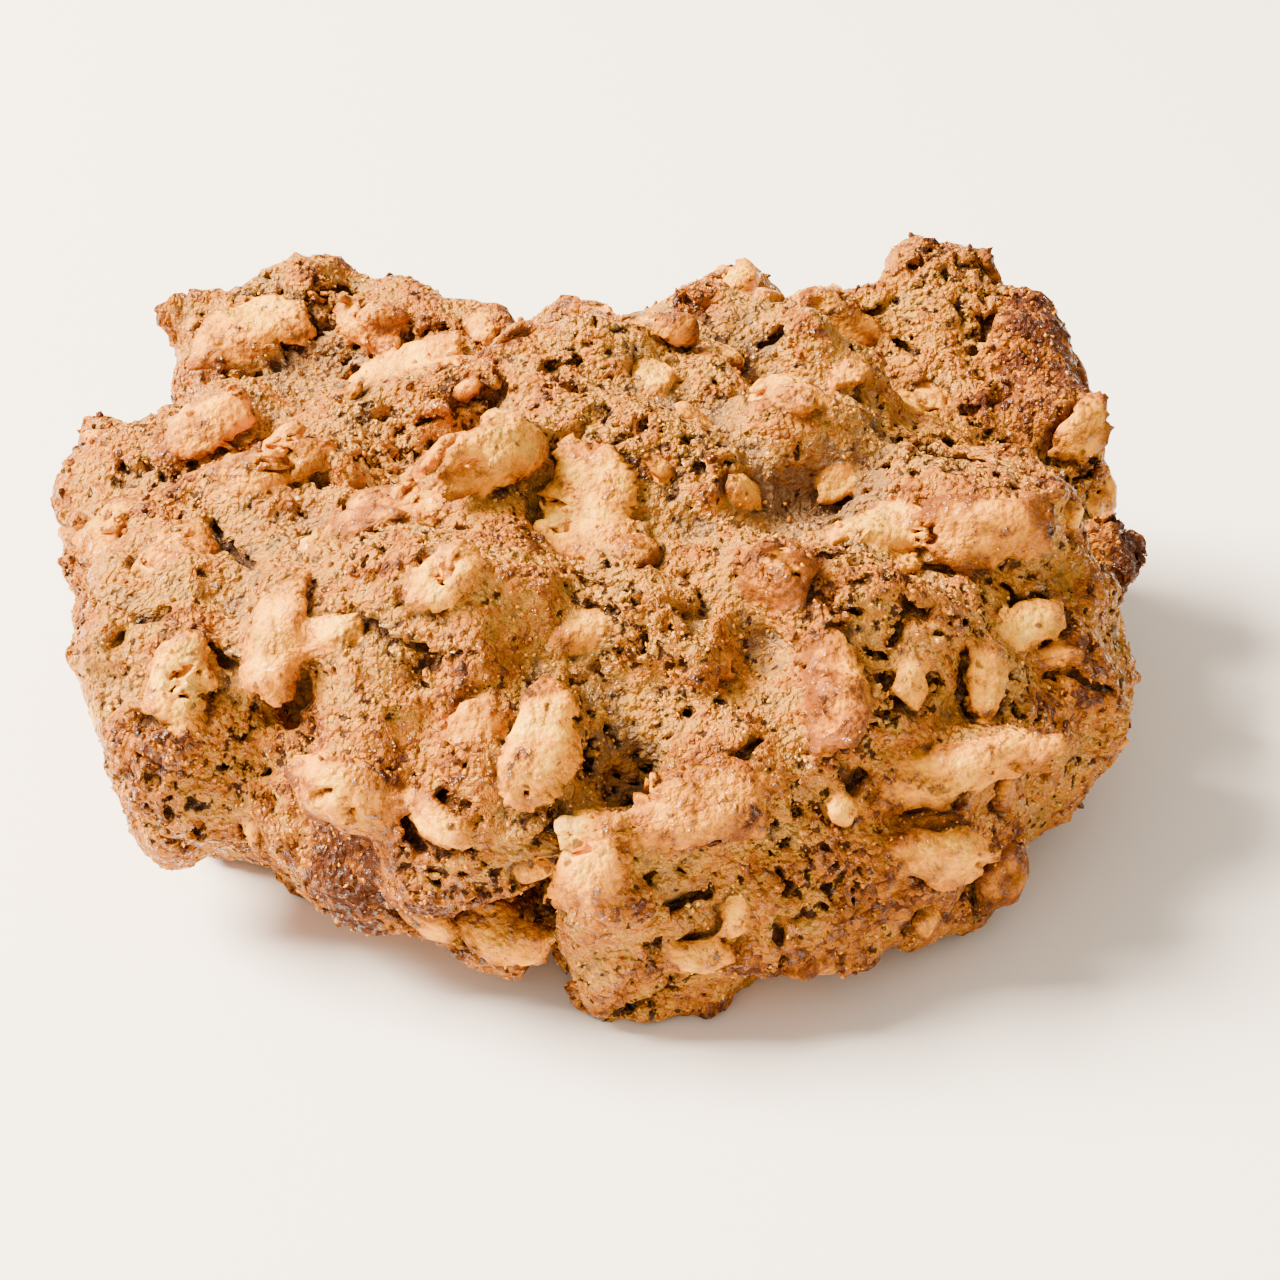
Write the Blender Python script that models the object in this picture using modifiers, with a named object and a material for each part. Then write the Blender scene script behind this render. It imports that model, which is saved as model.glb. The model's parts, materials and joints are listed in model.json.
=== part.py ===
"""A thick, craggy drop cookie of oat dough, at its real size.

The cookie is one solid. Scoops of soft dough are pressed together on a domed core, so its face
is made of lumps with creases between them. Rolled oat flakes stand out of the skin, small
hollows and splits open it, and the underside is flat, as it baked on a tray.

Frame: +Z up, origin at the middle of the flat underside, -Y towards the eye, metres.
"""

import math
import random

import bmesh
import bpy
from mathutils import Matrix, Vector, noise
from mathutils.bvhtree import BVHTree

MM = 0.001

# Driving dimensions. The dome is the cookie's mean outer form; the core of plain dough lies inside
# it, and the lumps fill the space between and stand out past it.
DOME_RADII = Vector((44.3, 36.5, 23.0)) * MM
DOME_CENTRE = Vector((0.0, 0.0, 9.0)) * MM
CORE_INSET = Vector((3.5, 3.5, 3.5)) * MM

# The face is laid out as it is seen from here: the eye looks down at the aim point, and places on
# the face are given in millimetres across and up from that line of sight.
EYE_DISTANCE = 205 * MM
EYE_ELEVATION = math.radians(33.7)
AIM = Vector((3.5, 10.3, 0.0)) * MM

LOOK = Vector((0, math.cos(EYE_ELEVATION), -math.sin(EYE_ELEVATION)))
RIGHT = Vector((1, 0, 0))
UP = RIGHT.cross(LOOK)
EYE = AIM - LOOK * EYE_DISTANCE

# Lumps on the face: across, up, half width, half height, tilt in degrees, how far it stands out.
LUMPS = {
    "left_crown": (-31.5, 27, 10, 8, 10, 4),
    "left_back_step": (-26, 28, 7, 5, 0, 2.5),
    "back_ridge_left": (-19, 28, 9, 5, -15, 2.5),
    "back_ridge_right": (-8, 24, 8, 5.5, -10, 2.5),
    "valley_lump": (1, 24.5, 8, 6, 5, 1.5),
    "back_ridge_middle": (9, 27.5, 6, 5, -30, 3),
    "long_ridge": (14, 25, 11, 5, -35, 2.5),
    "back_right": (18, 28, 7, 5, 0, 2),
    "knob": (25, 29.3, 4.8, 3.6, 0, 4.2),
    "knob_base": (27.5, 27, 7, 6, 0, 3),
    "right_shoulder": (32.5, 22, 7, 9, 25, 3),
    "shoulder_top": (33, 25.5, 5.5, 4.5, -40, 3.5),
    "right_shoulder_tip": (36.5, 17.5, 4, 5, 0, 2),
    "left_shoulder": (-44.5, 15, 7.5, 8, 0, 3),
    "left_top": (-38, 18.5, 7, 5, 0, 2),
    "left_middle": (-34.5, 13, 11, 6, 20, 1.5),
    "strip": (-21.5, 22.5, 10, 5, 15, 1.5),
    "pale_slab": (-12, 16.5, 7, 5, 30, 1),
    "centre_top": (-2, 19, 12, 7, -10, 1.5),
    "centre_right": (13, 19.5, 6.5, 5, 0, 2.5),
    "right_lump": (31, 10, 10, 7, -10, 4),
    "right_lump_low": (36.5, 4.5, 9, 7, 0, 2.5),
    "basin_lump": (20.5, 9.5, 6, 4, 0, 0.5),
    "toasted_lump": (11.5, 5.5, 4.5, 4, 0, 3),
    "left_wall": (-43.5, 3, 8, 12, 0, 2.5),
    "left_block": (-41, -2, 8, 10, -5, 4.5),
    "left_column": (-32, 0, 6, 10, 0, 2),
    "great_dome": (-19, -4.5, 12, 15, 0, 4.5),
    "great_dome_foot": (-17.5, -15.5, 10, 8, 15, 4.5),
    "dome_right": (-8.5, -8.5, 6, 8, -10, 2),
    "centre_slab": (1, 0, 11, 10, 0, 1.5),
    "right_slab": (18, -5, 8, 12, -5, 3.5),
    "right_slab_back": (25, -3.5, 10, 10, 0, 2.5),
    "long_lump": (28, -10, 9, 5, 15, 2.5),
    "pale_crown": (5, -14.5, 7.5, 5.5, 5, 3.5),
    "front_left": (-1, -22.5, 8, 9, 0, 3.5),
    "front_foot": (1.5, -28.5, 9, 6.5, 0, 4.2),
    "front_middle": (12.5, -23, 11, 8, 0, 4.5),
    "lower_right": (22.5, -19.5, 11, 8.5, 0, 3.2),
    "lower_right_foot": (29.5, -20, 8, 6, 20, 2.5),
    "right_wall": (39.5, -3.5, 7, 11, 10, 2),
    "nut": (42.5, 7, 2.6, 4.2, 5, 2.5),
    "right_wall_low": (35, -12, 7, 9, 20, 1.5),
    "crumb_under_dome": (-13, -26, 6, 5, -10, 2.5),
    "left_foot": (-27, -18, 10, 7, -20, 3),
    "left_foot_low": (-41, -9, 9, 8, -30, 5.5),
}

# Hollows and splits, in the same terms; the last value is how deep they go.
HOLLOWS = {
    "valley": (-3, 27, 2.4, 3.0, 0, 3),
    "left_split_top": (-27.5, 4, 1.5, 2.6, -25, 4),
    "left_split_low": (-30.5, -5.5, 1.2, 2.6, 0, 4),
    "cave": (-10, -22.5, 4.6, 2.4, 30, 9),
    "cave_wall": (-8, -27, 1.8, 4.5, 0, 7),
    "basin": (14, 12, 7, 3, 10, 2.5),
    "back_pocket": (25, 17.5, 3.5, 4.5, 0, 3.5),
    "centre_split": (0, -12, 1.2, 3.6, -35, 2.4),
    "centre_split_up": (7, -4.5, 4.4, 1.1, 45, 2),
    "right_lump_split": (30, 5.4, 4.6, 0.9, 0, 2),
    "slab_split": (13, -13, 1.4, 4.6, 40, 3),
    "flake_shadow": (25, -14.3, 5.6, 1.0, 10, 2),
    "nut_hollow": (42, 8, 1.2, 3.0, 0, 3),
    "block_split": (-38, 3.5, 1.0, 5.5, 15, 2.5),
    "dome_left_split": (-30, 10, 1.2, 4.0, 10, 2),
    "slab_left_split": (10, -1, 1.0, 3.6, -20, 1.6),
}

# Oat flakes that stand out of the face: across, up, half length, half width, tilt in degrees.
FLAKES = {
    "centre": (-5, 11.7, 4.9, 4.0, 80),
    "left_top": (-38, 18.6, 3.9, 2.5, 15),
    "back_strip": (-21, 23.8, 5.5, 1.9, 14),
    "pale_slab": (-12, 16.4, 4.4, 2.7, 30),
    "middle_strip": (-32, 15.2, 4.8, 1.8, 20),
    "left_smooth": (-40.3, -3.5, 3.9, 2.2, 80),
    "left_column": (-32, 0.9, 4.7, 2.7, 85),
    "left_foot": (-25.5, -13.9, 4.0, 2.8, -20),
    "dome_low": (-17.8, -16, 2.7, 1.6, -30),
    "dome_right": (-8.7, -8.7, 4.6, 3.0, 75),
    "crown": (5.2, -14.3, 5.2, 3.3, 10),
    "front_left": (-4.2, -19.5, 3.8, 2.4, 70),
    "slab_ridge": (16.9, -4.3, 5.8, 2.2, 85),
    "long": (27.7, -11.3, 6.6, 2.0, 20),
    "right_smooth": (33.8, 1.4, 3.2, 1.7, 12),
    "right_small": (29.9, -3.5, 2.9, 1.5, 85),
    "right_lump": (29.9, 9.5, 4.8, 3.1, 5),
    "basin": (20.4, 10, 4.1, 2.1, 5),
    "lower_right": (26.4, -18.6, 3.6, 2.1, 8),
    "lower_right_foot": (31.6, -20.8, 3.1, 1.9, 30),
    "front_small": (5.2, -27.7, 2.2, 1.6, 20),
    "dome_top": (-17.3, 5.6, 2.8, 2.1, 40),
    "ridge_left": (-24.2, 27.4, 3.6, 1.8, -15),
    "ridge_end": (8.7, 30.7, 3.0, 1.9, 60),
    "pocket_chunk": (24.2, 19.9, 3.0, 2.5, 80),
    "shoulder": (38.5, 18.2, 3.1, 2.1, 65),
    "toasted": (-23.4, 11.3, 3.4, 2.0, -10),
    "left_edge": (-46.5, 10.4, 3.2, 2.3, 70),
    "long_ridge": (17.3, 27.7, 3.4, 2.1, -30),
    "crumb": (-12.1, -25.6, 3.4, 2.2, -35),
    "left_orange": (-39.8, 8.2, 2.6, 2.2, 30),
}
FLAKE_HALF_THICKNESS = 1.3 * MM
FLAKE_LIFT = 0.35 * MM

# Lumps and flakes on the sides that the eye doesn't reach are spread evenly and turned at random.
SPREAD_SEED = 11
SPREAD_LUMPS = 34
SPREAD_LUMP_RADIUS = (6.0, 9.5)
SPREAD_LUMP_PROUD = (1.0, 3.0)
SPREAD_FLAKES = 90
SPREAD_FLAKE_LENGTH = (2.6, 4.6)
FACE_EDGE = -0.1

# Crags: (size of a crag, height) for each layer of roughness in the baked skin.
CRAGS = ((9.0, 2.4), (4.3, 2.0))

VOXEL = 0.7 * MM
FACE_BUDGET = 11400
TRAY_ALLOWANCE = 0.6 * MM
GOLDEN_TURN = math.pi * (3 - math.sqrt(5))
DOUGH_COLOUR = (0.42, 0.22, 0.09, 1)
DOUGH_ROUGHNESS = 0.75


def sight(across, up):
    """The direction in which the eye sees the place that is so many millimetres across and up."""
    return LOOK * EYE_DISTANCE + (RIGHT * across + UP * up) * MM


def shrink(vector, radii):
    return Vector(a / b for a, b in zip(vector, radii))


def on_dome(across, up):
    """The point of the dome that the eye sees there, and the way its surface faces.

    Past the dome's outline it is the point where the line of sight passes nearest.
    """
    start = shrink(EYE - DOME_CENTRE, DOME_RADII)
    step = shrink(sight(across, up), DOME_RADII)
    nearest = -start.dot(step) / step.dot(step)
    miss = (start + step * nearest).length
    if miss < 1:
        nearest -= math.sqrt((1 - miss * miss) / step.dot(step))
    unit = start + step * nearest
    point = DOME_CENTRE + unit * DOME_RADII
    return point, shrink(unit, DOME_RADII).normalized()


def lying(facing, tilt):
    """Axes on the surface: one to the right and turned by the tilt, one up the face, one outwards."""
    rightward = (RIGHT - facing * RIGHT.dot(facing)).normalized()
    rightward.rotate(Matrix.Rotation(math.radians(tilt), 3, facing))
    return Matrix((rightward, facing.cross(rightward), facing)).transposed()


def add_blob(bm, point, axes, radii, detail):
    """One ellipsoid at a point, its radii along the given axes."""
    matrix = Matrix.Translation(point) @ axes.to_4x4() @ Matrix.Diagonal((*radii, 1))
    bmesh.ops.create_icosphere(bm, subdivisions=detail, radius=1, matrix=matrix)


def add_lump(bm, point, facing, half_width, half_height, tilt, proud):
    """A scoop of dough whose crown stands the given distance outside the point."""
    thickness = math.sqrt(half_width * half_height) * 0.95
    centre = point + facing * (proud - thickness) * MM
    add_blob(bm, centre, lying(facing, tilt), Vector((half_width, half_height, thickness)) * MM, 4)


def new_object(name, bm, collection):
    mesh = bpy.data.meshes.new(name)
    bm.to_mesh(mesh)
    bm.free()
    obj = bpy.data.objects.new(name, mesh)
    collection.objects.link(obj)
    return obj


def spread_directions(count):
    """Directions spread evenly over the upper side and the flanks, the steepest first."""
    for i in range(count):
        height = 0.98 - 1.15 * (i + 0.5) / count
        around = i * GOLDEN_TURN
        flat = math.sqrt(1 - height * height)
        yield Vector((flat * math.cos(around), flat * math.sin(around), height))


def faces_eye(point, facing):
    return facing.dot((EYE - point).normalized()) > FACE_EDGE


def build_dough(collection):
    """The core and the lumps on it, still as overlapping balls in one mesh."""
    chance = random.Random(SPREAD_SEED)
    bm = bmesh.new()
    add_blob(bm, DOME_CENTRE, Matrix.Identity(3), DOME_RADII - CORE_INSET, 6)
    for across, up, *shape in LUMPS.values():
        add_lump(bm, *on_dome(across, up), *shape)
    for direction in spread_directions(SPREAD_LUMPS):
        point = DOME_CENTRE + direction * DOME_RADII
        facing = shrink(direction, DOME_RADII).normalized()
        radius, tilt = chance.uniform(*SPREAD_LUMP_RADIUS), chance.uniform(0, 180)
        proud, narrow = chance.uniform(*SPREAD_LUMP_PROUD), chance.uniform(0.65, 1.0)
        if not faces_eye(point, facing):
            add_lump(bm, point, facing, radius, radius * narrow, tilt, proud)
    return new_object("oat_cookie", bm, collection)


def apply_modifiers(obj):
    """Turns the object's modifiers into its mesh."""
    graph = bpy.context.evaluated_depsgraph_get()
    mesh = bpy.data.meshes.new_from_object(obj.evaluated_get(graph))
    obj.modifiers.clear()
    obj.data = mesh


def fuse(obj, softening):
    """Joins the overlapping balls into one skin and softens the creases between them."""
    remesh = obj.modifiers.new("fuse", "REMESH")
    remesh.mode = "VOXEL"
    remesh.voxel_size = VOXEL
    smooth = obj.modifiers.new("soften", "SMOOTH")
    smooth.factor = 0.5
    smooth.iterations = softening
    apply_modifiers(obj)


def cut(obj, cutters, operation):
    """Cuts the object by the cutters, or to what they enclose."""
    boolean = obj.modifiers.new("cut", "BOOLEAN")
    boolean.operation = operation
    boolean.solver = "MANIFOLD"
    boolean.object = cutters
    apply_modifiers(obj)


def build_hollows(collection):
    bm = bmesh.new()
    for across, up, half_width, half_height, tilt, depth in HOLLOWS.values():
        point, facing = on_dome(across, up)
        radii = Vector((half_width, half_height, depth)) * MM
        add_blob(bm, point, lying(facing, tilt), radii, 3)
    return new_object("hollows", bm, collection)


def roughen(obj):
    """Raises crags all over the skin, along the way that each point faces."""
    outward = [vertex.normal.copy() for vertex in obj.data.vertices]
    for vertex, direction in zip(obj.data.vertices, outward):
        height = 0.0
        for layer, (size, amount) in enumerate(CRAGS):
            place = vertex.co / (size * MM) + Vector((layer * 7.3, 0, 0))
            height += amount * noise.noise(place)
        vertex.co += direction * height * MM


def skin_of(obj):
    return BVHTree.FromPolygons(
        [v.co for v in obj.data.vertices], [p.vertices for p in obj.data.polygons]
    )


def build_flakes(skin, collection):
    """Oat flakes lying in the skin: the ones placed on the face, and others spread over the rest."""
    chance = random.Random(SPREAD_SEED + 1)
    bm = bmesh.new()
    for across, up, half_length, half_width, tilt in FLAKES.values():
        point, facing, _, _ = skin.ray_cast(EYE, sight(across, up))
        if point is None:
            point, facing = on_dome(across, up)
        add_flake(bm, chance, point, facing, half_length, half_width, tilt)
    for direction in spread_directions(SPREAD_FLAKES):
        outside = DOME_CENTRE + direction * DOME_RADII * 1.5
        point, facing, _, _ = skin.ray_cast(outside, -direction)
        length, tilt = chance.uniform(*SPREAD_FLAKE_LENGTH), chance.uniform(0, 180)
        if not faces_eye(point, facing):
            add_flake(bm, chance, point, facing, length, length * chance.uniform(0.55, 0.8), tilt)
    return new_object("flakes", bm, collection)


def add_flake(bm, chance, point, facing, half_length, half_width, tilt):
    """One flake, a flat oval that leans a little so that one edge stands proud."""
    lean = Matrix.Rotation(chance.uniform(-0.3, 0.3), 3, "X")
    lean = lean @ Matrix.Rotation(chance.uniform(-0.3, 0.3), 3, "Y")
    radii = Vector((half_length * MM, half_width * MM, FLAKE_HALF_THICKNESS))
    add_blob(bm, point + facing * FLAKE_LIFT, lying(facing, tilt) @ lean, radii, 3)


def cut_level(obj, level, collection):
    """Cuts off what lies below a level, for the flat underside that the tray gives."""
    bm = bmesh.new()
    height = 0.1
    middle = Matrix.Translation((0, 0, level + height / 2))
    bmesh.ops.create_cube(bm, size=1, matrix=middle @ Matrix.Diagonal((0.2, 0.2, height, 1)))
    above = new_object("above_the_tray", bm, collection)
    cut(obj, above, "INTERSECT")
    bpy.data.objects.remove(above)


def drop_loose_bits(obj):
    """Keeps only the largest piece of the mesh."""
    bm = bmesh.new()
    bm.from_mesh(obj.data)
    waiting, pieces = set(bm.verts), []
    while waiting:
        front = [waiting.pop()]
        piece = list(front)
        while front:
            here = front.pop()
            linked = {edge.other_vert(here) for edge in here.link_edges} & waiting
            waiting -= linked
            front += linked
            piece += linked
        pieces.append(piece)
    pieces.sort(key=len)
    for piece in pieces[:-1]:
        bmesh.ops.delete(bm, geom=piece, context="VERTS")
    bm.to_mesh(obj.data)
    bm.free()


def centre_on_base(obj):
    """Moves the mesh so that the origin lies under the middle of its bounding box."""
    corners = [Vector(corner) for corner in obj.bound_box]
    middle = (corners[0] + corners[6]) / 2
    middle.z = 0
    obj.data.transform(Matrix.Translation(-middle))
    print("moved by", [round(-v * 1000, 2) for v in middle])


def thin_out(obj, budget):
    """Keeps as many faces as the budget says, where the shape needs them."""
    count = sum(len(p.vertices) - 2 for p in obj.data.polygons)
    decimate = obj.modifiers.new("thin out", "DECIMATE")
    decimate.ratio = budget / count
    apply_modifiers(obj)


def baked_dough():
    material = bpy.data.materials.new("baked oat dough")
    material.use_nodes = True
    surface = material.node_tree.nodes["Principled BSDF"]
    surface.inputs["Base Color"].default_value = DOUGH_COLOUR
    surface.inputs["Roughness"].default_value = DOUGH_ROUGHNESS
    surface.inputs["Metallic"].default_value = 0.0
    return material


def main():
    for obj in list(bpy.data.objects):
        bpy.data.objects.remove(obj)
    parts = bpy.data.collections.new("oat_cookie")
    bpy.context.scene.collection.children.link(parts)
    cookie = build_dough(parts)
    fuse(cookie, 4)
    hollows = build_hollows(parts)
    fuse(hollows, 0)
    cut(cookie, hollows, "DIFFERENCE")
    fuse(cookie, 1)
    roughen(cookie)
    flakes = build_flakes(skin_of(cookie), parts)
    fuse(flakes, 0)
    cut(cookie, flakes, "UNION")
    cut_level(cookie, -TRAY_ALLOWANCE, parts)
    fuse(cookie, 0)
    thin_out(cookie, FACE_BUDGET)
    cut_level(cookie, 0, parts)
    drop_loose_bits(cookie)
    centre_on_base(cookie)
    cookie.data.materials.clear()
    cookie.data.materials.append(baked_dough())
    for helper in (hollows, flakes):
        bpy.data.objects.remove(helper)
    print(len(cookie.data.polygons), "faces", [round(v * 1000, 1) for v in cookie.dimensions])


main()
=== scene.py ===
# %% [markdown]
# # An oat cookie, crumb by crumb
#
# This lesson dresses one thick, craggy oat cookie. Its solid is already made, to the real size,
# with its lumps, hollows and flat underside. Here it gets what makes it look baked: an open,
# grainy crumb with pores and cracks, rolled oat flakes, toasted peaks and loose grains.
#
# The solid arrives in metres, +Z up, standing on z = 0, and the eye looks along +Y.

import json
import math

import bmesh
import bpy
import numpy as np
from mathutils import Matrix, Vector
from mathutils.bvhtree import BVHTree

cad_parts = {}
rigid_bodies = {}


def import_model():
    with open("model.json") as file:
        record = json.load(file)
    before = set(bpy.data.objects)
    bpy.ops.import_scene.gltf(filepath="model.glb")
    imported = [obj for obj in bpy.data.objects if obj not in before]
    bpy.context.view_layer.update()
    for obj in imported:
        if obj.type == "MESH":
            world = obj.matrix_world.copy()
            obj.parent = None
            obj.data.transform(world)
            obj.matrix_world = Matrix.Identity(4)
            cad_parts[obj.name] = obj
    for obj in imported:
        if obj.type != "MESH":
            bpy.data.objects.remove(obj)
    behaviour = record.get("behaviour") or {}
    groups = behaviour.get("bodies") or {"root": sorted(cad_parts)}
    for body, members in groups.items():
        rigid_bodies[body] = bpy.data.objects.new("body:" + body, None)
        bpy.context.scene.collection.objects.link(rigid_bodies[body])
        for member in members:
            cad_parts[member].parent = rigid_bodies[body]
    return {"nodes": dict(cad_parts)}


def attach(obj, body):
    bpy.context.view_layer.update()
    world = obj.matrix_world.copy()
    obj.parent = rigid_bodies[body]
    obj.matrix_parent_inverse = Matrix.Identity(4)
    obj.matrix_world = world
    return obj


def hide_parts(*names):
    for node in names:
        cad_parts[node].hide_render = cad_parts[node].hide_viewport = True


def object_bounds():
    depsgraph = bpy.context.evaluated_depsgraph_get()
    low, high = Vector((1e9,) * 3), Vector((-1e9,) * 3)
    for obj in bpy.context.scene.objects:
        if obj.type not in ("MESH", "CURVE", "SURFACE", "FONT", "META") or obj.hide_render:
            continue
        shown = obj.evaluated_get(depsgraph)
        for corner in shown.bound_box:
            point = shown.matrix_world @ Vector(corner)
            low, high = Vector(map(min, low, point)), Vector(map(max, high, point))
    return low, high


for default_object in list(bpy.data.objects):
    bpy.data.objects.remove(default_object)
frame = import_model()
solid_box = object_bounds()
solid = frame["nodes"]["oat_cookie"]
print("solid:", len(solid.data.polygons), "triangles")

# %% [markdown]
# ## Units, colours and one way to add a node
#
# Sizes below are in millimetres times MM. Colours are written as the hex values that a picture
# editor shows, and one function turns them into the linear values that a shader needs. Both the
# shapes and the finishes are node trees, and one function adds any node: its settings by name,
# and for each input either a value or the output that feeds it.

# %% Units, colours, nodes
MM = 0.001
MATH = "ShaderNodeMath"
VECTOR_MATH = "ShaderNodeVectorMath"
NOISE = "ShaderNodeTexNoise"
VORONOI = "ShaderNodeTexVoronoi"
MAP_RANGE = "ShaderNodeMapRange"
PROXIMITY = "GeometryNodeProximity"
NEAREST = "GeometryNodeSampleNearestSurface"
NAMED = "GeometryNodeInputNamedAttribute"
OBJECT_INFO = "GeometryNodeObjectInfo"
RANDOM = "FunctionNodeRandomValue"
ATTRIBUTE = "ShaderNodeAttribute"
MIX = "ShaderNodeMix"
RAMP = "ShaderNodeValToRGB"


def linear(hex_colour):
    """An sRGB hex value such as '#C89664' as a linear colour with alpha."""
    srgb = [int(hex_colour[i : i + 2], 16) / 255 for i in (1, 3, 5)]
    return (*((v / 12.92 if v <= 0.04045 else ((v + 0.055) / 1.055) ** 2.4) for v in srgb), 1)


def add(tree, kind, feeds=None, out=0, **settings):
    """Adds a node and gives one of its outputs. feeds maps inputs to values or to outputs."""
    new = tree.nodes.new(kind)
    for name, value in settings.items():
        setattr(new, name, value)
    for socket, source in (feeds or {}).items():
        if isinstance(source, bpy.types.NodeSocket):
            tree.links.new(source, new.inputs[socket])
        else:
            new.inputs[socket].default_value = source
    return new.outputs[out]


# %% [markdown]
# ## The camera
#
# The eye looks down on the cookie from about 34 degrees, close enough for some perspective. Places
# on the cookie's face are given in millimetres across and up from the line of sight, and `seen`
# turns such a place into a direction, so that a flake can be laid where the eye finds it.

# %% Camera
EYE_ELEVATION = math.radians(33.7)
EYE_DISTANCE = 205 * MM
AIM = Vector((4.1, 10.9, 0)) * MM
LENS = 66.6
LOOK = Vector((0, math.cos(EYE_ELEVATION), -math.sin(EYE_ELEVATION)))
RIGHT = Vector((1, 0, 0))
UP = RIGHT.cross(LOOK)
EYE = AIM - LOOK * EYE_DISTANCE

camera = bpy.data.objects.new("camera", bpy.data.cameras.new("camera"))
bpy.context.scene.collection.objects.link(camera)
camera.location = EYE
camera.rotation_euler = LOOK.to_track_quat("-Z", "Y").to_euler()
camera.data.lens = LENS
camera.data.clip_start = 0.01
bpy.context.scene.camera = camera


def seen(across, up):
    """The direction in which the eye sees a place so many millimetres across and up."""
    return LOOK * EYE_DISTANCE + (RIGHT * across + UP * up) * MM


print("eye at", [round(v, 3) for v in EYE])

# %% [markdown]
# ## The floor and the light
#
# The cookie lies in soft daylight: a big window to the left and a little behind, a weaker warm fill
# from the front left, and a pale room all round, so its right side falls into shade. The floor is
# plain and warm white.

# %% Floor and lights
FLOOR_COLOUR = linear("#FAF4EA")
ROOM_COLOUR = linear("#F0E6D8")
ROOM_STRENGTH = 1.02
LIT_PLACE = Vector((0, 0, 0.015))


def plain_material(name, colour, roughness):
    material = bpy.data.materials.new(name)
    material.use_nodes = True
    surface = material.node_tree.nodes["Principled BSDF"]
    surface.inputs["Base Color"].default_value = colour
    surface.inputs["Roughness"].default_value = roughness
    return material


bpy.ops.mesh.primitive_plane_add(size=3)
floor = bpy.context.object
floor.name = "floor"
floor.data.materials.append(plain_material("matt white laminate", FLOOR_COLOUR, 0.6))

world = bpy.data.worlds.new("room")
bpy.context.scene.world = world
world.use_nodes = True
world.node_tree.nodes["Background"].inputs["Color"].default_value = ROOM_COLOUR
world.node_tree.nodes["Background"].inputs["Strength"].default_value = ROOM_STRENGTH


def area_light(name, place, size, watts, colour):
    """A square light that shines on the cookie."""
    light = bpy.data.objects.new(name, bpy.data.lights.new(name, "AREA"))
    bpy.context.scene.collection.objects.link(light)
    light.location = place
    light.rotation_euler = (LIT_PLACE - Vector(place)).to_track_quat("-Z", "Y").to_euler()
    light.data.size = size
    light.data.energy = watts
    light.data.color = linear(colour)[:3]
    return light


area_light("window", (-0.72, 0.12, 0.74), size=0.5, watts=90, colour="#FFF0DC")
area_light("fill", (-0.5, -0.8, 0.6), size=0.8, watts=3, colour="#FFEAD2")

# %% [markdown]
# ## The cookie's form
#
# The solid is faceted, so a copy of it is merged, rebuilt as an even grid and softened. This is the
# form that everything else follows. On it, each point also learns whether it lies on a crest or in
# a hollow: how far it stands out from a much smoother copy of itself. Crests toast in the oven, and
# hollows are painted darker and greyer as painted shade; the finish reads this later as an attribute.

# %% The form, and its crests and hollows
MERGE_REACH = 1e-6
FORM_GRID = 0.8 * MM
SOFTENING = 7
CREST_REACH = 60


def evaluated_mesh(obj):
    """The object's mesh with its modifiers in it."""
    graph = bpy.context.evaluated_depsgraph_get()
    return bpy.data.meshes.new_from_object(obj.evaluated_get(graph))


def link_new(name, mesh):
    obj = bpy.data.objects.new(name, mesh)
    bpy.context.scene.collection.objects.link(obj)
    return obj


form = link_new("form", solid.data.copy())
mesh = bmesh.new()
mesh.from_mesh(form.data)
bmesh.ops.remove_doubles(mesh, verts=mesh.verts, dist=MERGE_REACH)
mesh.to_mesh(form.data)
mesh.free()
remesh = form.modifiers.new("even grid", "REMESH")
remesh.mode = "VOXEL"
remesh.voxel_size = FORM_GRID
soften = form.modifiers.new("soften", "SMOOTH")
soften.iterations = SOFTENING
form_mesh = evaluated_mesh(form)
form.modifiers.clear()
form.data = form_mesh


def new_tree(name, inputs):
    """A Geometry Nodes tree with a geometry in and out, and the named inputs."""
    tree = bpy.data.node_groups.new(name, "GeometryNodeTree")
    tree.interface.new_socket("Geometry", in_out="INPUT", socket_type="NodeSocketGeometry")
    tree.interface.new_socket("Geometry", in_out="OUTPUT", socket_type="NodeSocketGeometry")
    for label, kind in inputs.items():
        tree.interface.new_socket(label, in_out="INPUT", socket_type="NodeSocket" + kind)
    return tree, add(tree, "NodeGroupInput").node.outputs


def run_tree(obj, tree, values):
    """Runs a tree on the object with the given inputs and gives the resulting mesh."""
    modifier = obj.modifiers.new(tree.name, "NODES")
    modifier.node_group = tree
    for item in tree.interface.items_tree:
        if item.in_out == "INPUT" and item.name in values:
            modifier[item.identifier] = values[item.name]
    result = evaluated_mesh(obj)
    obj.modifiers.remove(modifier)
    return result


tree, given = new_tree("crests", {"Reach": "Int"})
place = add(tree, "GeometryNodeInputPosition")
feeds = {"Value": place, "Iterations": given["Reach"]}
smooth_place = add(tree, "GeometryNodeBlurAttribute", feeds, data_type="FLOAT_VECTOR")
stand = add(tree, VECTOR_MATH, {0: place, 1: smooth_place}, operation="SUBTRACT")
normal = add(tree, "GeometryNodeInputNormal")
crest = add(tree, VECTOR_MATH, {0: stand, 1: normal}, out="Value", operation="DOT_PRODUCT")
crest_mm = add(tree, MATH, {0: crest, 1: 1 / MM}, operation="MULTIPLY")
feeds = {"Geometry": given["Geometry"], "Name": "crest", "Value": crest_mm}
stored = add(tree, "GeometryNodeStoreNamedAttribute", feeds)
tree.links.new(stored, tree.nodes.new("NodeGroupOutput").inputs["Geometry"])
form.data = run_tree(form, tree, {"Reach": CREST_REACH})
form.data.shade_smooth()
crests = np.array([v.value for v in form.data.attributes["crest"].data])
print("form:", len(form.data.vertices), "points")
print("crest from", crests.min().round(2), "to", crests.max().round(2), "mm")

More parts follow.
